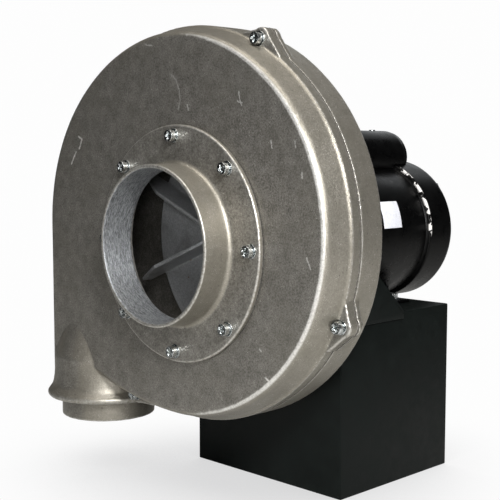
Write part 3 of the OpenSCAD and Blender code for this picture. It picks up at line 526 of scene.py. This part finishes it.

MAT = {
    "cast_housing": cast_aluminium("cast_housing", scratched=True),
    "cast_collar": cast_aluminium("cast_collar", tone=1.10, bore=INLET_BORE),
    "impeller_metal": impeller_metal(),
    "zinc_fastener": zinc(),
    "steel": steel("machined_steel", (0.55, 0.56, 0.57), 0.32, turned=True),
    "laminations": stacked_sheet(),
    "copper_winding": wound_copper(),
    "motor_paint": paint("motor_paint", MOTOR_BLACK, 0.30, peel=0.015),
    "bell_paint": paint("bell_paint", MOTOR_BLACK, 0.30, peel=0.015, lip_y=BELL_LIP),
    "pedestal_paint": paint("pedestal_paint", (0.0022, 0.0034, 0.0030), 0.50, peel=0.012),
    "gasket": rubber("gasket_sheet", (0.085, 0.078, 0.066), 0.85),
    "seal_rubber": rubber("seal_rubber", (0.02, 0.02, 0.02), 0.6),
    "fan_plastic": rubber("fan_plastic", (0.045, 0.048, 0.052), 0.5),
    "phenolic": rubber("phenolic", (0.10, 0.05, 0.03), 0.45),
    "capacitor_can": rubber("capacitor_can", (0.03, 0.033, 0.038), 0.35),
    "governor_metal": steel("governor_metal", (0.50, 0.40, 0.22), 0.38),
    "label_film": label_film(),
}
for node_name, obj in nodes.items():
    obj.data.materials.clear()
    obj.data.materials.append(MAT[slot_of[node_name]])
    shade_smooth(obj, SHARP_FROM["cad"])

# ---------------------------------------------------------------- castings

# piece, node, body, material, voxel (quick build, full build) in mm, most faces, smoothing passes, and how
# strong the grain and the swell of its skin are in mm
CASTINGS = (
    ("housing_front_casting", "front_cover", "frame", "cast_housing", (1.8, 1.15), 380_000, 5, 0.10, 0.25),
    ("housing_rear_casting", "rear_housing", "frame", "cast_housing", (1.8, 1.15), 300_000, 5, 0.10, 0.25),
    ("inlet_collar_casting", "inlet_collar", "frame", "cast_collar", (1.2, 0.85), 180_000, 5, 0.06, 0.12),
    ("impeller_casting", "impeller", "rotor", "impeller_metal", (1.4, 0.8), 180_000, 6, 0.05, 0.10),
    ("rear_bell_casting", "rear_end_bell", "frame", "bell_paint", (1.8, 1.2), 200_000, 7, 0.0, 0.0),
    ("front_bell_casting", "front_end_bell", "frame", "motor_paint", (1.8, 1.2), 120_000, 7, 0.0, 0.0),
    ("capacitor_hump", "capacitor_cover", "frame", "motor_paint", (0.65, 0.5), 150_000, 14, 0.0, 0.0),
)
for piece, node_name, body, material, (quick_voxel, voxel), faces, passes, grain, swell in CASTINGS:
    obj = casting(piece, node_name, voxel, faces, passes, grain, swell)
    settle(obj, body, node_name, material)

# ---------------------------------------------------------------- sheet metal and fittings

# piece, node, width of its rounded edges in mm
SOFTENED = (
    ("pedestal_box", "pedestal", 1.5),
    ("bracket_plate", "housing_bracket", 0.9),
    ("motor_foot", "motor_base", 0.8),
    ("motor_shell", "motor_frame", 0.6),
    ("rating_label", "rating_plate", 0.2),
    ("inlet_washer_set", "inlet_washers", 0.25),
    ("inlet_lock_set", "inlet_lock_washers", 0.3),
    ("housing_washer_set", "housing_washers", 0.25),
    ("housing_lock_set", "housing_lock_washers", 0.3),
)
for piece, node_name, width in SOFTENED:
    settle(softened(piece, node_name, width), "frame", node_name, slot_of[node_name])

# ---------------------------------------------------------------- cross-recess screws

# millimetres
HEAD_H = 4.4
HEAD_ROUND = 0.25
SHANK_R = 3.0
THREAD_PITCH = 1.1
THREAD_DEPTH = 0.45
TIP_CHAMFER = 0.7
THREAD_START = 0.6
THREAD_RUNOUT = 1.5
RECESS = 2.4
SLOT_FLANK = 0.35
SLOT_END = 0.6
CORE_FLANK = 0.5
CROWN = 0.12
# shares of the head's radius
SLOT_HALF_WIDTH = 0.14
SLOT_REACH = 0.64
CORE_REACH = 0.26
CROWNED = 0.94

HEAD_RINGS = 15
SCREW_SEGMENTS = 48


def loose_boxes(node):
    """Box of each separate solid in a node, in order of place."""
    bm = joined_mesh(node)
    left = set(bm.verts)
    boxes = []
    while left:
        stack = [left.pop()]
        island = []
        while stack:
            vertex = stack.pop()
            island.append(vertex.co.copy())
            for edge in vertex.link_edges:
                other = edge.other_vert(vertex)
                if other in left:
                    left.remove(other)
                    stack.append(other)
        low = Vector([min(co[i] for co in island) for i in range(3)])
        high = Vector([max(co[i] for co in island) for i in range(3)])
        boxes.append((low, high))
    bm.free()
    return sorted(boxes, key=lambda box: (round(box[0].x, 4), round(box[0].z, 4)))


def step_down(value, limit, softness):
    """0 from limit on, rising to 1 as value falls softness below it."""
    return max(0.0, min(1.0, (limit - value) / softness))


def recess_depth(x, y, head_r):
    """Depth of the cross recess at a point of the head, in millimetres."""
    near, far = sorted((abs(x), abs(y)))
    slot_side = step_down(near, head_r * SLOT_HALF_WIDTH + SLOT_FLANK / 2, SLOT_FLANK)
    slot = slot_side * step_down(far, head_r * SLOT_REACH, SLOT_END)
    core = step_down(math.hypot(x, y), head_r * CORE_REACH, CORE_FLANK)
    return RECESS * max(slot, core)


def screw_outline(head_r, length):
    """Half section of a fillister screw, (radius, height) in mm from the middle of its head's face."""
    face = [(head_r * k / HEAD_RINGS, 0.0) for k in range(HEAD_RINGS)]
    shoulder = [(head_r * 0.965, 0.12), (head_r * 0.995, 0.45), (head_r, 0.9)]
    under = [(head_r, HEAD_H - HEAD_ROUND), (head_r - HEAD_ROUND, HEAD_H), (SHANK_R, HEAD_H)]
    thread = []
    for k in range(int((length - HEAD_H - THREAD_RUNOUT) / THREAD_PITCH)):
        h = HEAD_H + THREAD_START + THREAD_PITCH * k
        thread += [(SHANK_R, h), (SHANK_R - THREAD_DEPTH, h + THREAD_PITCH * 0.5)]
    tip = [(SHANK_R, length - TIP_CHAMFER), (SHANK_R - TIP_CHAMFER, length), (0.0, length)]
    return face + shoulder + under + thread + tip


def add_screw(bm, low, high, spin):
    """A screw in the box of the CAD one, its head towards -Y."""
    head_r = (high.x - low.x) / 2 / MM
    made = lathe(bm, screw_outline(head_r, (high.y - low.y) / MM), SCREW_SEGMENTS)
    for vertex in made:
        r = math.hypot(vertex.co.x, vertex.co.y)
        if vertex.co.z < 1e-6 and r < head_r * CROWNED:
            depth = recess_depth(vertex.co.x, vertex.co.y, head_r)
            vertex.co.z += depth + CROWN * (r / head_r) ** 2
    place = along_y((low.x + high.x) / 2, low.y, (low.z + high.z) / 2, spin) @ Matrix.Scale(MM, 4)
    bmesh.ops.transform(bm, matrix=place, verts=made)


rng = random.Random(48)
for piece, node_name in (("inlet_screw_set", "inlet_screws"), ("housing_screw_set", "housing_screws")):
    bm = bmesh.new()
    for low, high in loose_boxes(node_name):
        add_screw(bm, low, high, rng.uniform(0, math.pi / 2))
    bmesh.ops.recalc_face_normals(bm, faces=bm.faces)
    mesh = bpy.data.meshes.new(piece)
    bm.to_mesh(mesh)
    bm.free()
    obj = link(piece, mesh)
    shade_smooth(obj, SHARP_FROM["screw"])
    settle(obj, "frame", node_name, slot_of[node_name])

# ---------------------------------------------------------------- studio

CAMERA_AT = Vector((0.7526, -0.8565, 0.3398))
CAMERA_YAW = math.radians(45.28)
CAMERA_PITCH = math.radians(5.27)
CAMERA_LENS = 75.37  # mm, on a 36 mm sensor
LIGHTS_AIM = Vector((0.0, -0.15, 0.25))
BACKDROP = 0.985
WORLD_FILL = 0.055
FLOOR_HALF = 6.0  # half the floor's side, metres
CONTACT_SHADE = 0.22  # how far from the object the painted contact shadow on the floor reaches, metres


def aimed(data, at, direction):
    """A camera or light at a point, looking in a direction."""
    obj = link(data.name, data)
    obj.location = at
    obj.rotation_euler = direction.to_track_quat("-Z", "Y").to_euler()
    return obj


def soft_light(name, at, size, power, colour=(1, 1, 1)):
    data = bpy.data.lights.new(name, "AREA")
    data.shape = "RECTANGLE"
    data.size, data.size_y = size
    data.energy = power
    data.color = colour
    aimed(data, at, LIGHTS_AIM - Vector(at))


def plain_world():
    """Pale backdrop for the camera, dim cool fill for everything else."""
    world = bpy.data.worlds.new("world")
    bpy.context.scene.world = world
    world.use_nodes = True
    tree = world.node_tree
    tree.nodes.clear()
    fill = tree.nodes.new("ShaderNodeBackground")
    fill.inputs["Color"].default_value = (0.92, 0.96, 1.0, 1)
    fill.inputs["Strength"].default_value = WORLD_FILL
    seen = tree.nodes.new("ShaderNodeBackground")
    seen.inputs["Color"].default_value = (BACKDROP, BACKDROP, BACKDROP, 1)
    path = tree.nodes.new("ShaderNodeLightPath")
    both = tree.nodes.new("ShaderNodeMixShader")
    out = tree.nodes.new("ShaderNodeOutputWorld")
    tree.links.new(path.outputs["Is Camera Ray"], both.inputs[0])
    tree.links.new(fill.outputs[0], both.inputs[1])
    tree.links.new(seen.outputs[0], both.inputs[2])
    tree.links.new(both.outputs[0], out.inputs[0])


def pale_floor():
    """A floor that the camera sees as the backdrop, with a painted contact shadow close to the object."""
    bm = bmesh.new()
    bmesh.ops.create_grid(bm, x_segments=24, y_segments=24, size=FLOOR_HALF)
    mesh = bpy.data.meshes.new("floor")
    bm.to_mesh(mesh)
    bm.free()
    floor = link("floor", mesh)
    t = Tree("floor")
    open_sky = t.put("ShaderNodeAmbientOcclusion", {"Distance": CONTACT_SHADE}, samples=12).outputs["AO"]
    # painted contact shadow: the floor's glow darkens where ambient occlusion finds the object near
    pale = t.mix(t.ramp(open_sky, 0.2, 0.95, 0.55, 1.0), (0.30, 0.30, 0.31), (BACKDROP, BACKDROP, BACKDROP))
    shown = t.put("ShaderNodeEmission", {"Color": pale, "Strength": 1.0}).outputs[0]
    lit = t.put("ShaderNodeBsdfDiffuse", {"Color": (0.62, 0.62, 0.61, 1)}).outputs[0]
    by_camera = t.put("ShaderNodeLightPath").outputs["Is Camera Ray"]
    surface = t.put("ShaderNodeMixShader", {0: by_camera, 1: lit, 2: shown}).outputs[0]
    t.feed(t.out.inputs["Surface"], surface)
    floor.data.materials.append(t.mat)


camera = bpy.data.cameras.new("camera")
camera.sensor_width = 36.0
camera.lens = CAMERA_LENS
camera.clip_start = 0.02
camera.clip_end = 60
level = Vector((-math.sin(CAMERA_YAW), math.cos(CAMERA_YAW), 0)) * math.cos(CAMERA_PITCH)
forward = level - Vector((0, 0, math.sin(CAMERA_PITCH)))
bpy.context.scene.camera = aimed(camera, CAMERA_AT, forward)

soft_light("key", (1.12, -0.86, 0.98), (0.34, 0.30), 33)
soft_light("eye", (0.80, -0.98, 0.44), (0.2, 0.2), 4.5)
soft_light("top", (0.05, -0.45, 1.9), (1.0, 1.0), 17, (1.0, 0.96, 0.90))
soft_light("back", (-0.6, 1.6, 1.2), (1.2, 0.8), 3, (0.95, 0.98, 1.0))
plain_world()
pale_floor()

bpy.context.scene.view_settings.view_transform = "Standard"
bpy.context.scene.view_settings.look = "None"
